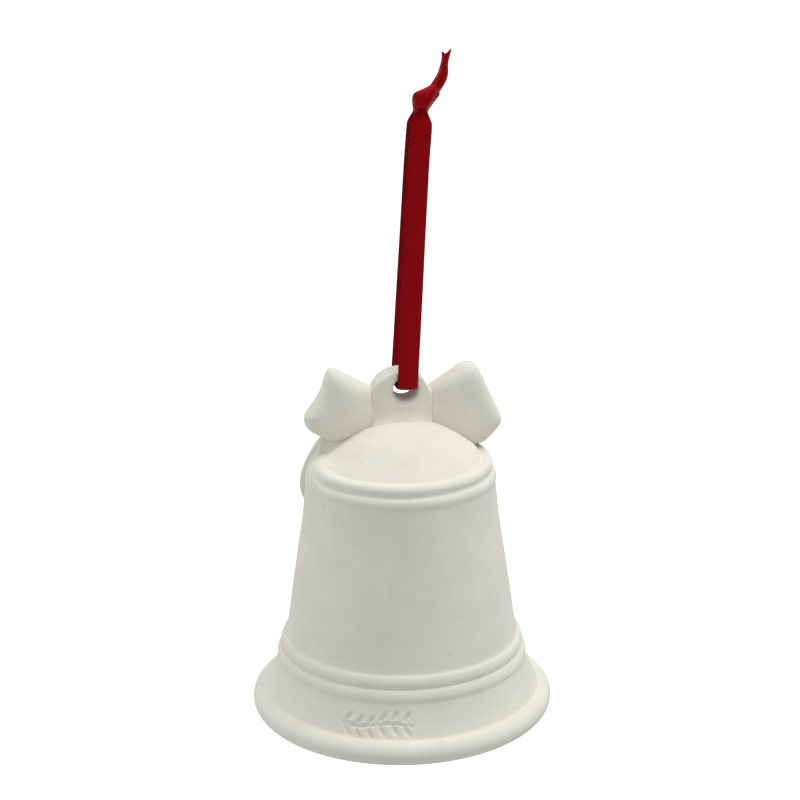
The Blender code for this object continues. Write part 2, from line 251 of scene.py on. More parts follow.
def strip_section(count):
    """Around a flat strip: pairs (across, out), each from -1 to 1, with rounded edges."""
    angle = np.linspace(0.0, 2.0 * pi, count, endpoint=False)
    across = np.sign(np.cos(angle)) * np.abs(np.cos(angle)) ** 0.45
    out = np.sign(np.sin(angle)) * np.abs(np.sin(angle)) ** 0.35
    return across, out


def ribbon_uv(line, across):
    """Each point's share of the width, and its distance along the ribbon in ribbon widths."""
    shape = (len(line), len(across))
    run = lengths_along(line)[:, None] / RIBBON_WIDTH
    share = np.broadcast_to(0.5 + 0.5 * across[None, :], shape)
    return np.stack([share, np.broadcast_to(run, shape)], axis=-1)


def strip_skin(line, side, normal, half_width, half_thick, bulge):
    """A flat strip along a line: point + side * width * across + normal * (bulge + thickness * out).

    bulge(along, across) lifts the strip off its flat, so that it cups and folds.
    """
    across, out = strip_section(LOOP_SECTION)
    along = np.linspace(0.0, 1.0, len(line))[:, None]
    lift = bulge(along, across[None, :])
    shift = half_width[:, None] * across[None, :]
    grid = (line[:, None, :] + side[:, None, :] * shift[..., None]
            + normal[:, None, :] * (lift + half_thick * out[None, :])[..., None])
    return grid, ribbon_uv(line, across)


def planar_frames(line):
    """For a line in the YZ plane: the side is X, and the normal is the tangent turned a quarter turn."""
    side = np.broadcast_to([1.0, 0.0, 0.0], line.shape)
    return side, np.cross(side, directions_along(line))


def ribbon_loop():
    """The hanging loop: from the knot down behind the bow, through its hole and up the other side."""
    far_strand = [(0.4 * x - 0.05, -y, z) for x, y, z in NEAR_STRAND[::-1]]
    line = smooth_line(np.array(NEAR_STRAND + SADDLE + far_strand) * MM, LOOP_ROWS)
    side, normal = planar_frames(line)
    gather = step(line[:, 2] / MM, -2.2, 1.2)
    saddle = hump(line[:, 2], SADDLE_Z, 1.0 * MM)
    half_width = 0.5 * RIBBON_WIDTH * (1.0 - 0.42 * gather - 0.04 * saddle)

    def bulge(along, across):
        cup = 0.10 * MM * across ** 2 * (1.0 - saddle[:, None])
        ripple = 0.05 * MM * np.sin(9.0 * along * pi + 1.4 * across)
        pleat = gather[:, None] * 0.42 * MM * np.cos(2.1 * pi * across)
        arch = saddle[:, None] * 0.35 * MM * (1.0 - across ** 2)
        return cup + ripple - pleat - arch

    grid, uv = strip_skin(line, side, normal, half_width, 0.5 * RIBBON_THICKNESS, bulge)
    loop = closed_grid("hanging_ribbon", ribbon_place(grid), uv)
    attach(loop, "ribbon")
    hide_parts("ribbon_loop")
    return loop, ribbon_place(line)


def frames_along(line, first_side):
    """Side and normal carried along a line without twist, starting from a chosen side."""
    tangent = directions_along(line)
    sides = []
    side = np.asarray(first_side, float)
    for t in tangent:
        side = side - t * side.dot(t)
        side = side / np.linalg.norm(side)
        sides.append(side)
    sides = np.array(sides)
    return sides, np.cross(sides, tangent)


def ribbon_end(name, node, route, rolled, slant):
    """A cut end: the strip rolled up lengthwise into a gutter that opens away from the near side.

    With angle = across * half width / radius and r = radius * (1 - 0.14 * across): sideways = r sin(angle),
    backwards = r (1 - cos(angle)). The tip is cut slanting; rolled gives the radius from root to tip.
    """
    line = smooth_line(np.array(route) * MM, END_ROWS)
    side, normal = frames_along(line, (-1.0, 0.25, 0.0))
    across, out = strip_section(END_SECTION)
    along = np.linspace(0.0, 1.0, len(line))
    tangent = directions_along(line)
    radius = blur(np.interp(along, np.linspace(0.0, 1.0, len(rolled)), rolled), 6.0)[:, None] * MM
    widest = np.minimum(0.5 * RIBBON_WIDTH / radius, 2.55)
    angle = widest * across[None, :]
    spiral = 1.0 - 0.14 * across[None, :]
    thick = 0.5 * RIBBON_THICKNESS * out[None, :]
    sideways = radius * spiral * np.sin(angle) + thick * np.sin(angle)
    inward = radius * spiral * (1.0 - np.cos(angle)) - thick * np.cos(angle)
    cut = -slant * MM * step(along, 0.45, 1.0)[:, None] * (0.5 + 0.5 * sideways / (1.2 * radius))
    grid = (line[:, None, :] + side[:, None, :] * sideways[..., None] + normal[:, None, :] * inward[..., None]
            + tangent[:, None, :] * cut[..., None])
    end = closed_grid(name, ribbon_place(grid), ribbon_uv(line, across))
    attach(end, "ribbon")
    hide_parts(node)
    return end


KNOT_OUTLINE = [(-1.95, 3.9), (-1.90, 4.9), (-1.55, 5.75), (-0.70, 6.35), (0.50, 6.90), (1.50, 7.35),
                (2.60, 7.90), (3.60, 8.45), (4.50, 8.10), (5.15, 7.45), (5.35, 6.60), (5.35, 5.60),
                (4.60, 4.50), (3.75, 3.30), (2.95, 2.05), (2.20, 0.70), (0.90, 0.20), (-0.50, 0.35),
                (-1.35, 1.0), (-1.75, 2.40)]
KNOT_ROWS = 90
KNOT_COLUMNS = 150
KNOT_MIDDLE = (1.7, 4.6)
KNOT_HALF = 2.25


def ribbon_knot():
    """The knot: its outline drawn in towards the middle on the way to each face, like a small cushion.

    The wrap shows as two long creases from the top corner to the neck, and a deep fold over the neck.
    """
    edge = smooth_line(KNOT_OUTLINE, KNOT_COLUMNS, closed=True)
    s = np.linspace(-0.5 * pi, 0.5 * pi, KNOT_ROWS + 2)[1:-1][:, None]
    share = np.cos(s) ** 0.62
    depth = np.sin(s)
    x = KNOT_MIDDLE[0] + (edge[None, :, 0] - KNOT_MIDDLE[0]) * share
    z = KNOT_MIDDLE[1] + (edge[None, :, 1] - KNOT_MIDDLE[1]) * share
    slant = x - 0.55 * (z - KNOT_MIDDLE[1]) - KNOT_MIDDLE[0]
    right_crease = 0.34 * hump(slant, 2.05 - 0.10 * (z - 4.0), 0.22)
    left_crease = 0.22 * hump(slant + 0.06 * (z - 4.0) ** 2, -1.75, 0.25)
    swell = 0.55 * hump(slant, 0.2, 1.2) - 0.30 * hump(z, 0.9, 0.9)
    pit = 2.3 * np.exp(-((x - 0.45) / 0.85) ** 2 - ((z - 1.25) / 0.95) ** 2)
    waves = 0.05 * np.sin(5.0 * slant + 0.8 * z)
    face = np.abs(depth) ** 0.7
    half = KNOT_HALF * np.abs(depth) + face * (swell - (right_crease + left_crease) + waves)
    y = np.sign(depth) * half + np.where(depth < 0, pit * face, 0.0)
    uv = np.stack([0.5 + slant / 7.0, (z + 0.35 * x) / 6.0], axis=-1)
    knot = closed_grid("ribbon_knot_core", ribbon_place(np.stack([x, y, z], axis=-1) * MM), uv)
    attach(knot, "ribbon")
    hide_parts("ribbon_knot")
    return knot


LONG_ROUTE = [(2.8, -0.5, 5.4), (4.3, -0.9, 7.8), (5.45, -1.1, 9.9), (5.95, -1.0, 11.5), (6.05, -0.9, 13.2),
              (6.2, -0.8, 14.8), (6.95, -0.8, 18.3)]
LONG_ROLL = [1.3, 1.25, 1.2, 1.1, 0.8, 0.78, 0.72]
LONG_SLANT = 2.6
SHORT_ROUTE = [(2.4, 0.7, 5.6), (4.4, 1.2, 8.4), (5.6, 1.5, 10.6), (6.1, 1.5, 12.6), (6.35, 1.4, 14.4),
               (6.30, 1.3, 15.9)]
SHORT_ROLL = [1.0, 1.0, 0.95, 0.8, 0.7, 0.6]
SHORT_SLANT = -1.0

hanging_ribbon, ribbon_line = ribbon_loop()
knot = ribbon_knot()
long_end = ribbon_end("ribbon_long_end", "ribbon_long_tail", LONG_ROUTE, LONG_ROLL, LONG_SLANT)
short_end = ribbon_end("ribbon_short_end", "ribbon_short_tail", SHORT_ROUTE, SHORT_ROLL, SHORT_SLANT)

# ---------------------------------------------------------------- bell wall
LIP_MIDDLE = (39.3, 3.35)
LIP_ROLL = 3.35
DOME = [(0.0, 84.4), (5.0, 84.05), (9.5, 83.0), (13.2, 81.4), (15.9, 79.7), (18.1, 78.1), (20.1, 76.6),
        (21.7, 75.2), (22.5, 74.35)]
SIDE = [(25.6, 71.3), (26.1, 70.0), (26.4, 68.2), (26.6, 66.8), (27.5, 58.0), (29.0, 48.0), (30.5, 38.0),
        (31.65, 30.0), (32.5, 24.6), (33.15, 22.0), (33.85, 19.4), (34.45, 17.6), (35.15, 16.0),
        (36.1, 13.2), (37.2, 10.3), (38.2, 8.1), (38.75, 6.9)]
INSIDE = [(38.2, 0.0), (37.3, 0.7), (36.3, 3.0), (35.3, 8.0), (33.0, 12.5), (31.6, 17.0), (29.1, 24.6),
          (27.9, 30.0), (26.7, 38.0), (25.2, 48.0), (23.7, 58.0), (22.4, 67.0), (21.4, 70.8), (19.6, 73.2),
          (16.4, 75.8), (12.8, 77.8), (9.0, 79.3), (4.6, 80.4), (0.0, 80.7)]
# Beads: height of the top edge and of the bottom edge, and how far each stands out.
BEADS = [(71.2, 68.3, 0.55), (22.9, 19.5, 0.85), (19.4, 16.1, 0.85)]
SHOULDER_BEAD = (23.95, 72.9, 1.68)
SHOULDER_CORNER = (26.9, 75.2)
OUTSIDE_ROWS = 186
INSIDE_ROWS = 50
FINE_COLUMNS = 170
COARSE_COLUMNS = 214
SPRIG_AZIMUTH = radians(-22.5)
SPRIG_HALF = radians(21.0)
SPRIG_MIDDLE = (37.6, 10.3)
SPRIG_RADIUS = 39.0
SPRIG_DEPTH = 0.62
HOLLOW_DEPTH = 2.5
DOME_LEAN = 0.85


def dome_height(radius):
    """Height of the dome's outside at a radius, between the dome's points."""
    return np.interp(radius, [point[0] for point in DOME], [point[1] for point in DOME])


def outer_line():
    """The outside as closely spaced (radius, height) points, in millimetres, from the top to the foot.

    Each bead is pushed out along the wall's normal by proud * (1 - s ** 2) ** 0.55, with s from -1 to 1.
    """
    dome = smooth_line([(-5.0, 84.05)] + DOME, 1500)
    dome = dome[np.argmax(dome[:, 0] >= 0.0):]
    middle, level, radius = SHOULDER_BEAD
    angle = np.radians(np.linspace(118.0, -36.0, 500))
    shoulder = np.stack([middle + radius * np.cos(angle), level + radius * np.sin(angle)], axis=-1)
    line = smooth_line(SIDE, 4500)
    tangent = directions_along(line)
    length = lengths_along(line)
    proud = np.zeros(len(line))
    for top, bottom, height in BEADS:
        first, last = (np.interp(-level, -line[:, 1], length) for level in (top, bottom))
        s = np.clip((2.0 * length - first - last) / (last - first), -1.0, 1.0)
        proud += height * (1.0 - s ** 2) ** 0.55
    line = line + np.stack([-tangent[:, 1], tangent[:, 0]], axis=-1) * proud[:, None]
    angle = np.radians(np.linspace(94.0, -84.0, 400))
    roll = np.array(LIP_MIDDLE) + LIP_ROLL * np.stack([np.cos(angle), np.sin(angle)], axis=-1)
    return np.concatenate([dome, shoulder, line, roll, [[38.9, 0.0]]])


def resampled(line, count, weight, soften):
    """A line softened and read at count places, closer together where weight is high."""
    length = lengths_along(line)
    even = np.linspace(0.0, length[-1], 6000)
    radius, height = (np.interp(even, length, line[:, k]) for k in (0, 1))
    samples = soften / (even[1] - even[0])
    radius, height = (v + (blur(v, samples) - v) * step(np.minimum(even, even[-1] - even), 0.0, 4.0 * soften)
                      for v in (radius, height))
    share = np.concatenate([[0.0], np.cumsum(weight(radius, height)[1:])])
    wanted = np.interp(np.linspace(0.0, share[-1], count), share, even)
    return np.stack([np.interp(wanted, even, radius), np.interp(wanted, even, height)], axis=-1)


def wall_weight(radius, height):
    """Closer rows on the beads, on the stamped band of the skirt and round the lip."""
    low_beads = 3.2 * hump(height, 20.0, 3.5)
    shoulder = 3.6 * hump(height, 71.5, 2.6)
    skirt = 2.4 * step(-height, -14.5, -13.0)
    return 1.0 + low_beads + shoulder + skirt


def even_weight(radius, height):
    """Evenly spaced rows."""
    return np.ones_like(radius)


def sprig_depth(along, up):
    """Depth of the stamped sprig: a wavy stem with six pairs of leaves, along and up in millimetres.

    The stem is where up = 0.8 sin(along / 3.2); a leaf is an ellipse turned out from the stem.
    """
    stem_line = 0.8 * np.sin(along / 3.2)
    ends = step(along, -11.2, -10.6) * step(-along, -11.2, -10.6)
    stem = ends * np.exp(-((up - stem_line) / 0.36) ** 2)
    deepest = stem
    for start in (-9.0, -5.6, -2.2, 1.2, 4.6, 8.0):
        for side in (-1.0, 1.0):
            lean = radians(52.0) * side
            x = along - start - 1.1
            y = up - 0.8 * np.sin(start / 3.2) - side * 1.9
            run = x * cos(lean) + y * sin(lean)
            off = y * cos(lean) - x * sin(lean)
            leaf = np.exp(-((run / 1.60) ** 2 + (off / 0.62) ** 2) ** 2)
            deepest = np.maximum(deepest, leaf)
    return deepest


def filled_shoulder(section, outer, radius, height, web):
    """Radius and height with the beaded shoulder drawn towards one smooth curve where web is 1.

    The curve is (1 - t) ** 2 * start + 2 t (1 - t) * corner + t ** 2 * end, with t the share of the way.
    """
    rows = np.flatnonzero(outer & (section[:, 0] > 20.6) & (section[:, 1] > 65.5))
    way = lengths_along(section[rows])
    t = (way / way[-1])[:, None]
    start, corner, end = section[rows[0]], np.array(SHOULDER_CORNER), section[rows[-1]]
    curve = (1.0 - t) ** 2 * start + 2.0 * t * (1.0 - t) * corner + t ** 2 * end
    radius, height = radius.copy(), height + 0.0 * radius
    radius[rows] += web * (curve[:, :1] - radius[rows])
    height[rows] += web * (curve[:, 1:] - height[rows])
    return radius, height


def beside_tails(azimuth):
    """How far the shoulder (web) and the dome (hollow) are filled beside a tail, from 0 to 1.

    Both are steps of the angle from the front, and on the left they reach further round.
    """
    left = (np.sin(azimuth) < 0.0) * 1.0
    from_front = 180.0 - np.abs(np.degrees((azimuth + pi) % (2 * pi) - pi))
    web = left * step(-from_front, -117.0, -98.0) + (1.0 - left) * step(-from_front, -52.0, -40.0)
    hollow = left * step(-from_front, -81.0, -74.0) + (1.0 - left) * step(-from_front, -48.0, -41.0)
    return web, hollow


def bell_wall():
    """The bell: its section carried round the axis, with the hand-made unevenness of a cast one.

    Radius is section radius * (1 + small waves of 2, 3 and 5 turns), the dome leans a little to the right,
    two faint seams run up the sides, and a sprig is pressed into the skirt. Beside each tail the shoulder
    and its beads are filled out to a smooth curve, and the hollow between tail and dome is filled up.
    """
    outside = resampled(outer_line(), OUTSIDE_ROWS, wall_weight, 0.16)
    inside = resampled(smooth_line(INSIDE, 1100), INSIDE_ROWS, even_weight, 0.4)
    section = np.concatenate([outside[1:], inside[:-1]])
    fine = SPRIG_AZIMUTH + SPRIG_HALF * np.linspace(-1.0, 1.0, FINE_COLUMNS)
    rest = (2 * pi - 2 * SPRIG_HALF) * np.linspace(0, 1, COARSE_COLUMNS + 2)[1:-1]
    azimuth = np.concatenate([fine, SPRIG_AZIMUTH + SPRIG_HALF + rest])[None, :]
    radius, height = section[:, :1], section[:, 1:]
    outer = (np.arange(len(section)) < len(outside) - 2)[:, None]
    waves = (0.0016 * np.cos(2 * azimuth + 0.7) + 0.0011 * np.cos(3 * azimuth + 2.1 + height * 0.05)
             + 0.0006 * np.cos(5 * azimuth + height * 0.09))
    seam = 0.07 * hump(np.abs(np.sin(azimuth)), 1.0, 0.0009) * outer
    around = (azimuth - SPRIG_AZIMUTH) * SPRIG_RADIUS
    up = np.hypot(radius - SPRIG_MIDDLE[0], height - SPRIG_MIDDLE[1]) * np.sign(height - SPRIG_MIDDLE[1])
    pressed = SPRIG_DEPTH * sprig_depth(around, up) * outer * (height < 16.2) * (height > 5.5)
    spread = radius * (1.0 + waves * step(radius, 0.0, 12.0)) + seam - pressed * 0.80
    lift = 0.10 * np.cos(2 * azimuth + 1.0) * step(height, 4.0, 15.0) - pressed * 0.55
    web, hollow = beside_tails(azimuth)
    spread, raised = filled_shoulder(section, outer[:, 0], spread, height + lift, web)
    ring = step(radius, 12.5, 16.0) * step(-radius, -25.5, -21.5) * outer * (height > 71.0)
    raised += HOLLOW_DEPTH * hollow * ring
    lean = DOME_LEAN * step(height, 74.0, 77.2) * outer
    grid = np.stack([spread * np.sin(azimuth) + lean, -spread * np.cos(azimuth), raised], axis=-1) * MM
    wall = closed_grid("bell_wall", bell_place(grid))
    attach(wall, "bell")
    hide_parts("bell_shell")
    return wall


# ---------------------------------------------------------------- bow
BOW_Y = 5.5
PILLOW_ROWS = 120
PILLOW_COLUMNS = 220
TAB_ROWS = 128
TAB_COLUMNS = 240
TAIL_ROWS = 90
TAIL_COLUMNS = 72
LEFT_LOOP = [(-5.6, 92.0), (-7.4, 93.9), (-9.8, 95.2), (-13.4, 97.3), (-16.4, 99.1), (-18.7, 99.4),
             (-20.0, 97.4), (-20.8, 94.6), (-22.2, 91.6), (-24.7, 88.0), (-26.0, 85.8), (-25.3, 82.9),
             (-22.4, 80.6), (-18.0, 78.6), (-10.6, 79.0), (-5.0, 81.6), (-3.6, 87.0)]
RIGHT_LOOP = [(8.0, 91.4), (9.5, 93.2), (11.9, 94.6), (15.4, 96.8), (18.8, 98.8), (21.5, 99.0), (23.2, 97.3),
              (25.1, 93.2), (27.1, 88.8), (29.2, 84.2), (29.8, 81.3), (27.9, 78.4), (24.0, 75.2),
              (18.6, 75.8), (12.6, 78.2), (8.2, 81.6), (6.9, 87.0)]
TAB = [(-8.2, 84.0), (-8.4, 88.2), (-7.9, 91.6), (-6.8, 94.0), (-5.3, 96.1), (-2.6, 97.8), (1.2, 98.35),
       (4.8, 97.8), (7.4, 95.7), (8.9, 93.0), (10.0, 90.8), (10.2, 88.0), (10.0, 84.0), (8.6, 81.2),
       (1.0, 80.4), (-6.8, 81.2)]
HOLE_RADIUS = 3.35


def pillow(name, node, outline, centre, ridge, roundness):
    """A bow loop: its outline shrunk towards the centre on the way from the middle plane to each face.

    With s from -90 to 90 degrees: share = cos(s) ** roundness and depth = half thickness * sin(s) ** 0.85.
    The half thickness falls towards the bow's middle, so that the loop meets it in a shallow crease.
    """
    edge = smooth_line(outline, PILLOW_COLUMNS, closed=True)
    s = np.linspace(-0.5 * pi, 0.5 * pi, PILLOW_ROWS + 2)[1:-1][:, None]
    share = np.cos(s) ** roundness
    depth = np.sign(np.sin(s)) * np.abs(np.sin(s)) ** 0.85
    x = centre[0] + (edge[None, :, 0] - centre[0]) * share
    z = centre[1] + (edge[None, :, 1] - centre[1]) * share
    out = np.abs(x - 1.0)
    flat = step(1.0 - share, 0.10, 0.45)
    half = 3.15 + 1.55 * step(out, 5.0, 15.0)
    fan = np.arctan2(z - 87.5, out)
    fold = 0.10 * np.cos(8.0 * fan + 0.8) * np.exp(-((out - 10.0) / 4.5) ** 2)
    hollow = 2.6 * np.exp(-(((out - 19.0) / 5.2) ** 2 + ((z - 1.0 - centre[1]) / 4.6) ** 2) ** 2)
    crease = ridge * hump(x, 9.75, 0.42) * step(z, 83.0, 85.5) * step(-z, -93.5, -91.5)
    y = BOW_Y + half * depth + flat * np.where(depth < 0, -fold - crease, -hollow - fold)
    loop = closed_grid(name, bell_place(np.stack([x, y, z], axis=-1) * MM))
    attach(loop, "bell")
    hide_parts(node)
    return loop


def bow_middle():
    """The bow's middle with its hole: a rounded-square section carried round between hole and outline.

    A point lies share of the way from the hole's circle to the outline, where share and depth are
    powers of the cosine and sine of one turn; the depth grows where the middle flares into the dome.
    """
    edge = smooth_line(TAB, TAB_COLUMNS, closed=True)
    hole = HOLE_IN_BELL[[0, 2]] / MM
    way = np.arctan2(edge[:, 1] - hole[1], edge[:, 0] - hole[0])
    rim = hole + HOLE_RADIUS * np.stack([np.cos(way), np.sin(way)], axis=-1)
    low = step(-np.sin(way), 0.0, 1.0)[None, :]
    a = np.linspace(0.0, 2.0 * pi, TAB_ROWS, endpoint=False)[:, None]
    share = 0.5 + 0.5 * np.sign(np.cos(a)) * np.abs(np.cos(a)) ** 0.34
    depth = np.sign(np.sin(a)) * np.abs(np.sin(a)) ** 0.46
    x = rim[None, :, 0] + (edge - rim)[None, :, 0] * share
    z = rim[None, :, 1] + (edge - rim)[None, :, 1] * share
    z = z + low * (1.0 - share) * 0.40 * (1.0 + depth)
    dome = dome_height(np.hypot(x - 0.85, BOW_Y))
    flare = 1.9 * np.exp(-np.clip(z - dome, -0.3, 9.0) / 1.0)
    side = 0.55 * step(np.abs(x - 1.0), 4.5, 9.6)
    y = BOW_Y + depth * (3.75 - side + flare)
    tab = ring_grid("bow_centre", bell_place(np.stack([x, y, z], axis=-1) * MM))
    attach(tab, "bell")
    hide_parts("bow_middle")
    return tab


# Tail stations: outside radius, height, and the near and far edge's angle from the front of the bell.
TAIL = np.array([(9.5, 85.1, 28.0, 4.0), (14.5, 84.3, 55.0, 12.0), (19.6, 81.9, 69.0, 22.0),
                 (23.5, 78.1, 72.0, 29.0), (26.3, 73.6, 71.5, 36.0), (28.1, 69.6, 70.5, 41.0),
                 (28.9, 66.2, 70.0, 44.0), (28.8, 62.4, 69.5, 47.0), (27.3, 58.0, 67.5, 50.0)])


def bow_tail(name, node, side, tucked):
    """A tail over the shoulder: its width swept along the stations, as a band with rounded edges.

    Across runs from the near to the far edge; the end has a notch, shorter by a sixth in the middle. Tucked
    turns the near edge to the front by that many degrees and the far edge by a third as many. The
    underside is square and goes into the bell.
    """
    stations = smooth_line(TAIL, TAIL_ROWS)
    run = np.linspace(0.0, 1.0, TAIL_ROWS)[:, None]
    angle = np.linspace(0.0, 2.0 * pi, TAIL_COLUMNS, endpoint=False)[None, :]
    across = np.sign(np.cos(angle)) * np.abs(np.cos(angle)) ** 0.45
    out = np.sign(np.sin(angle)) * np.abs(np.sin(angle)) ** 0.55
    across = np.where(out < 0.0, np.sign(across) * np.abs(across) ** 0.15, across)
    cut = run * (1.0 - 0.17 * (1.0 - np.abs(across)) * step(run, 0.35, 1.0))
    place = cut * (len(stations) - 1)
    radius, height, near, far = (np.interp(place, np.arange(len(stations)), stations[:, k]) for k in range(4))
    turn = tucked * step(run, 0.05, 0.25)
    near = near - turn
    far = far - 0.35 * turn
    degrees = 0.5 * (near + far) + 0.5 * (near - far) * across
    gutter = hump(across, 0.0, 0.42) * 0.45 * np.sin(pi * run)
    thick = 1.2 + 1.6 * hump(run, 0.38, 0.20)
    grow = -0.9 * thick + thick * out - np.where(out > 0, gutter, 0.0)
    slope = step(run, 0.15, 0.75) * 0.5 * pi
    r = radius + grow * np.sin(slope)
    z = height + grow * np.cos(slope)
    a = np.radians(degrees)
    tail = closed_grid(name, bell_place(np.stack([side * r * np.sin(a), r * np.cos(a), z], axis=-1) * MM))
    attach(tail, "bell")
    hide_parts(node)
    return tail


# ---------------------------------------------------------------- clapper
WIRE_RADIUS = 0.6 * MM
HOOK_RADIUS = 1.7 * MM
EYE_HALF = 2.4 * MM
BALL_RADIUS = 7.0
BORE_RADIUS = 0.9
STOP_TOP = -58.3
WIRE_END = -62.0


def tube(name, node, body, line, radius, first_side, sides=18):
    """A round wire: circles carried along a line, drawn in at both ends so that they close round."""
    side, normal = frames_along(line, first_side)
    run = lengths_along(line)
    near_end = np.minimum(run, run[-1] - run)
    size = radius * np.sqrt(np.clip(1.0 - (1.0 - np.clip(near_end / radius, 0.0, 1.0)) ** 2, 0.02, 1.0))
    angle = np.linspace(0.0, 2.0 * pi, sides, endpoint=False)
    grid = (line[:, None, :] + size[:, None, None] * (side[:, None, :] * np.cos(angle)[None, :, None]
            + normal[:, None, :] * np.sin(angle)[None, :, None]))
    uv = np.stack([np.broadcast_to(angle[None, :] / (2 * pi), grid.shape[:2]),
                   np.broadcast_to(run[:, None] / radius, grid.shape[:2])], axis=-1)
    wire = closed_grid(name, grid, uv)
    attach(wire, body)
    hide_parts(node)
    return wire


def turned_piece(name, node, body, section, place, waves, bored, columns=96):
    """A turned piece: a (radius, height) section in millimetres carried round, its radius waved a little.

    Radius * (1 + waves * (cos(2 a + 0.4 h) + 0.6 cos(3 a + 1.7 + 0.7 h))); a bored piece closes as a ring.
    """
    section = np.asarray(section, float)
    angle = np.linspace(0.0, 2.0 * pi, columns, endpoint=False)[None, :]
    radius, height = section[:, :1], section[:, 1:]
    wave = 1.0 + waves * (np.cos(2 * angle + 0.4 * height) + 0.6 * np.cos(3 * angle + 1.7 + 0.7 * height))
    waved = radius * wave
    grid = np.stack([waved * np.cos(angle), waved * np.sin(angle), height + 0.0 * angle], axis=-1)
    piece = (ring_grid if bored else closed_grid)(name, place(grid * MM))
    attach(piece, body)
    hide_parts(node)
    return piece


def clapper():
    """Eye, hooked wire, ball and stop; the hook is round the joint's axis."""
    t = np.radians(np.linspace(0.0, -180.0, 25))
    bend = np.stack([0 * t, EYE_HALF * np.cos(t), 73.4 * MM + EYE_HALF * np.sin(t)], axis=-1)
    leg = np.linspace((0.0, EYE_HALF, 77.8 * MM), (0.0, EYE_HALF, 73.6 * MM), 8)
    other_leg = leg[::-1] * np.array([1.0, -1.0, 1.0])
    eye = tube("wire_eye", "clapper_eye", "bell", bell_place(np.concatenate([leg, bend, other_leg])),
               WIRE_RADIUS, (1.0, 0.0, 0.0))
    t = np.radians(np.linspace(-62.0, 228.0, 46))
    ring = np.stack([HOOK_RADIUS * np.cos(t), 0 * t, HOOK_RADIUS * np.sin(t)], axis=-1)
    neck_points = [tuple(ring[-1] / MM), (-0.55, 0.0, -2.15), (-0.08, 0.0, -3.1), (0.0, 0.0, -4.2)]
    neck = smooth_line(np.array(neck_points) * MM, 14)
    shank = np.stack([0.05 * MM * np.sin(np.linspace(0.0, 9.0, 60)) * np.sin(np.linspace(0, pi, 60)),
                      np.zeros(60), np.linspace(-4.5, WIRE_END, 60) * MM], axis=-1)
    hook = tube("clapper_hook_wire", "clapper_wire", "clapper", np.concatenate([ring, neck[1:], shank]) + EYE,
                WIRE_RADIUS, (0.0, 1.0, 0.0))
    angle = np.radians(np.linspace(82.0, -82.0, 60))
    ball_line = BALL_RADIUS * np.stack([np.cos(angle), np.sin(angle)], axis=-1)
    bore = np.stack([np.full(14, BORE_RADIUS), np.linspace(-6.9, 6.9, 14)], axis=-1)
    ball = turned_piece("clapper_bead", "clapper_ball", "ball", np.concatenate([ball_line, bore]),
                        lambda points: points + BALL, 0.004, True)
    stop_line = [(BORE_RADIUS, 0.0), (1.35, 0.0), (1.7, -0.35), (1.8, -1.0), (1.62, -1.25), (1.8, -1.5),
                 (1.7, -2.05), (1.35, -2.4), (BORE_RADIUS, -2.4), (BORE_RADIUS, -1.2)]
    stop = turned_piece("crimped_stop", "clapper_stop", "clapper", stop_line,
                        lambda points: points + EYE + np.array([0.0, 0.0, STOP_TOP * MM]), 0.02,
                        True, 48)
    plug_line = smooth_line([(0.3, 80.1), (3.2, 80.0), (4.7, 79.6), (4.9, 78.2), (4.6, 76.6), (3.9, 75.5),
                             (2.2, 75.1), (0.3, 75.3)], 60)
    plug = turned_piece("plaster_plug", "crown_plug", "bell", plug_line, bell_place, 0.02, False)
    return eye, hook, ball, stop, plug


wall = bell_wall()
bow_pieces = [
    pillow("bow_loop_left", "bow_left_loop", LEFT_LOOP, (-15.4, 89.0), 0.0, 0.50),
    pillow("bow_loop_right", "bow_right_loop", RIGHT_LOOP, (18.0, 87.4), 0.50, 0.38),
    bow_middle(),
    bow_tail("bow_tail_left", "bow_left_tail", -1.0, 0.0),
    bow_tail("bow_tail_right", "bow_right_tail", 1.0, 24.0),
]
eye, hook, bead, stop, plug = clapper()


# ---------------------------------------------------------------- materials
class Nodes:
    """A short way to write a material's nodes."""

    def __init__(self, name):
        self.material = bpy.data.materials.new(name)
        self.material.use_nodes = True
        self.tree = self.material.node_tree
        self.shader = self.tree.nodes["Principled BSDF"]

    def add(self, kind, settings=None, **inputs):
        """Adds a node; settings are its properties, and inputs go by name, or by number as in i0, i1."""
        node = self.tree.nodes.new(kind)
        for key, value in (settings or {}).items():
            setattr(node, key, value)
        for key, value in inputs.items():
            numbered = key[0] == "i" and key[1:].isdigit()
            self.put(node.inputs[int(key[1:]) if numbered else key.replace("_", " ")], value)
        return node

    def put(self, socket, value):
        """Links an output to a socket, or sets the socket's own value."""
        if isinstance(value, bpy.types.NodeSocket):
            self.tree.links.new(value, socket)
        else:
            socket.default_value = value

    def math(self, operation, first, second=0.0, clamp=False):
        """A Math node's output."""
        node = self.add("ShaderNodeMath", {"operation": operation, "use_clamp": clamp}, i0=first, i1=second)
        return node.outputs[0]

    def ramp(self, value, low, high, to_low=0.0, to_high=1.0):
        """A smooth step of a value between two numbers."""
        node = self.add("ShaderNodeMapRange", {"interpolation_type": "SMOOTHSTEP"}, Value=value,
                        From_Min=low, From_Max=high, To_Min=to_low, To_Max=to_high)
        return node.outputs[0]

    def mix(self, factor, first, second):
        """A colour between two colours."""
        node = self.add("ShaderNodeMix", {"data_type": "RGBA"}, i0=factor, i6=first, i7=second)
        return node.outputs[2]


BISQUE = (0.790, 0.782, 0.690)
BEAD_BISQUE = (0.740, 0.728, 0.650)
PLASTER = (0.800, 0.792, 0.750)
SATIN_RED = (0.272, 0.0012, 0.0042, 1.0)
SATIN_DARK = (0.120, 0.0006, 0.0022, 1.0)
SATIN_BRIGHT = (0.350, 0.0022, 0.0068, 1.0)
BRASS = (0.62, 0.44, 0.17, 1.0)
TARNISH = (0.33, 0.22, 0.09, 1.0)


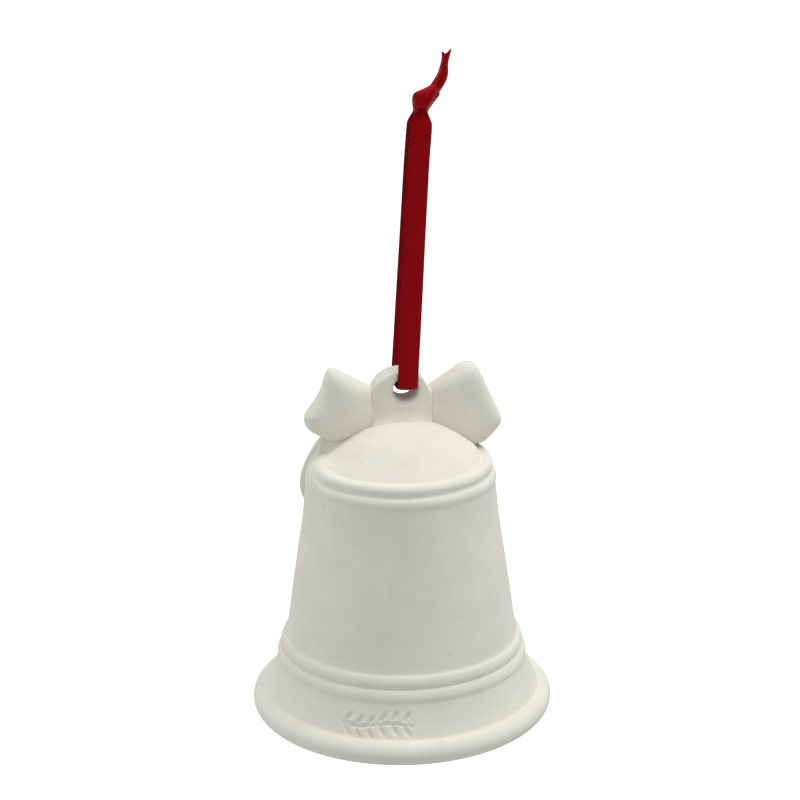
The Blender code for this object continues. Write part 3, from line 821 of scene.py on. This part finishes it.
def toned(colour, *shares):
    """A colour times one share, or times three, with full alpha and nothing over 1."""
    shares = shares * 3 if len(shares) == 1 else shares
    return tuple(min(1.0, c * share) for c, share in zip(colour, shares)) + (1.0,)


def bisque_material(name, colour, grain=1.0, tilt=0.0):
    """Unglazed fired clay: chalky, with a fine tooth, faint level sponge marks, mottling and pinholes, the
    pinholes darkened with painted shade.
    """
    n = Nodes(name)
    place = n.add("ShaderNodeTexCoord").outputs["Object"]
    upright = n.add("ShaderNodeMapping", {"vector_type": "POINT"}, Vector=place, Rotation=(0.0, tilt, 0.0))
    level = n.add("ShaderNodeMapping", Vector=upright.outputs[0], Scale=(60.0, 60.0, 1400.0)).outputs[0]
    sponge = n.add("ShaderNodeTexNoise", Vector=level, Scale=1.0, Detail=3.0, Roughness=0.6).outputs[0]
    tooth = n.add("ShaderNodeTexNoise", Vector=place, Scale=2800.0, Detail=4.0, Roughness=0.75).outputs[0]
    lumps = n.add("ShaderNodeTexNoise", Vector=place, Scale=420.0, Detail=3.0, Roughness=0.55).outputs[0]
    cloud = n.add("ShaderNodeTexNoise", Vector=place, Scale=90.0, Detail=4.0, Roughness=0.5).outputs[0]
    cells = n.add("ShaderNodeTexVoronoi", Vector=place, Scale=310.0, Randomness=1.0)
    rare = n.ramp(n.add("ShaderNodeSeparateColor", i0=cells.outputs["Color"]).outputs[0], 0.972, 0.98)
    size = n.ramp(cells.outputs["Distance"], 0.05, 0.11, 1.0, 0.0)
    pit = n.math("MULTIPLY", rare, size)
    tone = n.mix(n.ramp(cloud, 0.30, 0.62), toned(colour, 0.984, 0.982, 0.972), toned(colour, 1.03))
    tone = n.mix(n.ramp(sponge, 0.35, 0.75, 0.0, 0.14), tone, toned(colour, 0.90))
    tone = n.mix(n.ramp(tooth, 0.52, 0.74, 0.0, 0.42), tone, toned(colour, 0.86))
    # Painted shade: the pinholes, dented by the bump below, are darkened to 0.62 of the colour.
    tone = n.mix(n.math("MULTIPLY", pit, 0.45), tone, toned(colour, 0.62))
    n.put(n.shader.inputs["Base Color"], tone)
    n.put(n.shader.inputs["Roughness"], n.ramp(cloud, 0.2, 0.8, 0.82, 0.94))
    n.put(n.shader.inputs["Specular IOR Level"], 0.22)
    relief = n.math("MULTIPLY", tooth, 0.030 * grain)
    relief = n.math("ADD", relief, n.math("MULTIPLY", lumps, 0.085 * grain))
    relief = n.math("ADD", relief, n.math("MULTIPLY", sponge, 0.050 * grain))
    relief = n.math("SUBTRACT", relief, n.math("MULTIPLY", pit, 0.12))
    bump = n.add("ShaderNodeBump", Height=relief, Strength=1.0, Distance=MM)
    n.put(n.shader.inputs["Normal"], bump.outputs[0])
    return n.material


WARP_THREADS = 44.0
WEFT_THREADS = 30.0


def satin_material():
    """Woven satin: long floating warp threads along the ribbon, fine weft across and firm ribbed selvedges,
    their dark colour painted shade along the ribbon's edges.
    """
    n = Nodes("red_satin_weave")
    uv = n.add("ShaderNodeUVMap", {"uv_map": "along"}).outputs[0]
    parts = n.add("ShaderNodeSeparateXYZ", i0=uv)
    across, along = parts.outputs[0], parts.outputs[1]
    warp = n.math("SINE", n.math("MULTIPLY", across, 2 * pi * WARP_THREADS))
    shift = n.math("MULTIPLY", n.math("FLOOR", n.math("MULTIPLY", across, WARP_THREADS)), 0.38)
    picks = n.math("MULTIPLY", along, 2 * pi * WEFT_THREADS)
    weft = n.math("SINE", n.math("ADD", picks, n.math("MULTIPLY", shift, 2 * pi)))
    stretched = n.add("ShaderNodeMapping", Vector=uv, Scale=(46.0, 2.2, 1.0)).outputs[0]
    slub = n.add("ShaderNodeTexNoise", Vector=stretched, Scale=1.0, Detail=3.0, Roughness=0.6).outputs[0]
    edge = n.math("ABSOLUTE", n.math("SUBTRACT", across, 0.5))
    selvedge_and_edge_shade = n.ramp(edge, 0.455, 0.475)
    rib = n.math("SINE", n.math("MULTIPLY", along, 2 * pi * 26.0))
    tone = n.mix(n.ramp(slub, 0.30, 0.75), SATIN_RED, SATIN_BRIGHT)
    tone = n.mix(n.ramp(warp, -1.0, 0.2, 0.45, 0.0), tone, SATIN_DARK)
    # Painted shade: the edges of the ribbon are darkened nearly to SATIN_DARK; the ribs on them come from the
    # bump.
    tone = n.mix(n.math("MULTIPLY", selvedge_and_edge_shade, 0.95), tone, SATIN_DARK)
    n.put(n.shader.inputs["Base Color"], tone)
    n.put(n.shader.inputs["Roughness"], n.ramp(slub, 0.2, 0.8, 0.46, 0.58))
    n.put(n.shader.inputs["Specular IOR Level"], 0.32)
    n.put(n.shader.inputs["Specular Tint"], (1.0, 0.022, 0.045, 1.0))
    n.put(n.shader.inputs["Anisotropic"], 0.5)
    relief = n.math("ADD", n.math("MULTIPLY", warp, 0.010), n.math("MULTIPLY", weft, 0.004))
    relief = n.math("ADD", relief, n.math("MULTIPLY", n.math("MULTIPLY", rib, selvedge_and_edge_shade), 0.020))
    relief = n.math("ADD", relief, n.math("MULTIPLY", slub, 0.03))
    bump = n.add("ShaderNodeBump", Height=relief, Strength=1.0, Distance=MM)
    n.put(n.shader.inputs["Normal"], bump.outputs[0])
    return n.material


def wire_material():
    """Drawn brass wire, dulled: fine lines along its length and darker tarnish in patches."""
    n = Nodes("dull_brass_wire")
    place = n.add("ShaderNodeTexCoord").outputs["Object"]
    lines = n.add("ShaderNodeMapping", Vector=place, Scale=(9000.0, 9000.0, 300.0)).outputs[0]
    drawn = n.add("ShaderNodeTexNoise", Vector=lines, Scale=1.0, Detail=2.0).outputs[0]
    patch = n.add("ShaderNodeTexNoise", Vector=place, Scale=700.0, Detail=4.0).outputs[0]
    tone = n.mix(n.ramp(patch, 0.40, 0.68), BRASS, TARNISH)
    n.put(n.shader.inputs["Base Color"], tone)
    n.put(n.shader.inputs["Metallic"], 1.0)
    n.put(n.shader.inputs["Roughness"], n.ramp(patch, 0.3, 0.7, 0.30, 0.52))
    bump = n.add("ShaderNodeBump", Height=drawn, Strength=0.35, Distance=0.02 * MM)
    n.put(n.shader.inputs["Normal"], bump.outputs[0])
    return n.material


def dress(pieces, material):
    """Gives pieces one material."""
    for piece in pieces:
        piece.data.materials.clear()
        piece.data.materials.append(material)


dress([wall] + bow_pieces, bisque_material("bisque_body", BISQUE, tilt=TILT))
dress([bead], bisque_material("bisque_bead", BEAD_BISQUE, 1.3))
dress([plug], bisque_material("set_plaster", PLASTER, 2.2))
dress([eye, hook, stop], wire_material())
dress([hanging_ribbon, knot, long_end, short_end], satin_material())


# ---------------------------------------------------------------- floor and light
FLOOR_Z = -0.30
FLOOR_HALF = 9.0
LIGHT_AIM = (0.0, 0.0, -0.11)
# Name, place, side length in metres and watts.
LIGHTS = [
    ("overhead", (0.0, 0.0, 0.9), 0.4, 2.85),
    ("upper_right", (0.5, -0.1, 0.75), 0.5, 3.1),
    ("front_right", (0.75, -0.75, 0.15), 0.8, 0.75),
    ("left_side", (-0.9, 0.15, 0.10), 0.8, 1.9),
]
SURROUND = 0.515


def make_floor():
    """A wide pale floor well below the hanging bell."""
    corners = np.array([(-1.0, -1.0), (1.0, -1.0), (1.0, 1.0), (-1.0, 1.0)]) * FLOOR_HALF
    floor = build_mesh("floor", np.concatenate([corners, np.full((4, 1), FLOOR_Z)], axis=1), [(0, 1, 2, 3)])
    n = Nodes("pale_floor")
    n.put(n.shader.inputs["Base Color"], (0.97, 0.97, 0.97, 1.0))
    n.put(n.shader.inputs["Roughness"], 0.9)
    n.put(n.shader.inputs["Specular IOR Level"], 0.0)
    n.put(n.shader.inputs["Emission Color"], (1.0, 1.0, 1.0, 1.0))
    n.put(n.shader.inputs["Emission Strength"], 0.65)
    floor.data.materials.append(n.material)
    floor.visible_diffuse = False


def area_light(name, place, size, power):
    """A soft square light aimed at the middle of the bell."""
    data = bpy.data.lights.new(name, "AREA")
    data.shape = "SQUARE"
    data.size = size
    data.energy = power
    lamp = bpy.data.objects.new(name, data)
    bpy.context.scene.collection.objects.link(lamp)
    lamp.location = place
    lamp.rotation_mode = "QUATERNION"
    lamp.rotation_quaternion = (Vector(LIGHT_AIM) - Vector(place)).to_track_quat("-Z", "Y")


def make_light():
    """Two lights above, softer ones from the right and the left, and an even pale surround."""
    for name, place, size, power in LIGHTS:
        area_light(name, place, size, power)
    world = bpy.data.worlds.new("surround")
    bpy.context.scene.world = world
    world.use_nodes = True
    background = world.node_tree.nodes["Background"]
    background.inputs[0].default_value = (1.0, 1.0, 1.0, 1.0)
    background.inputs[1].default_value = SURROUND


make_floor()
make_light()
bpy.context.scene.view_settings.view_transform = "Standard"
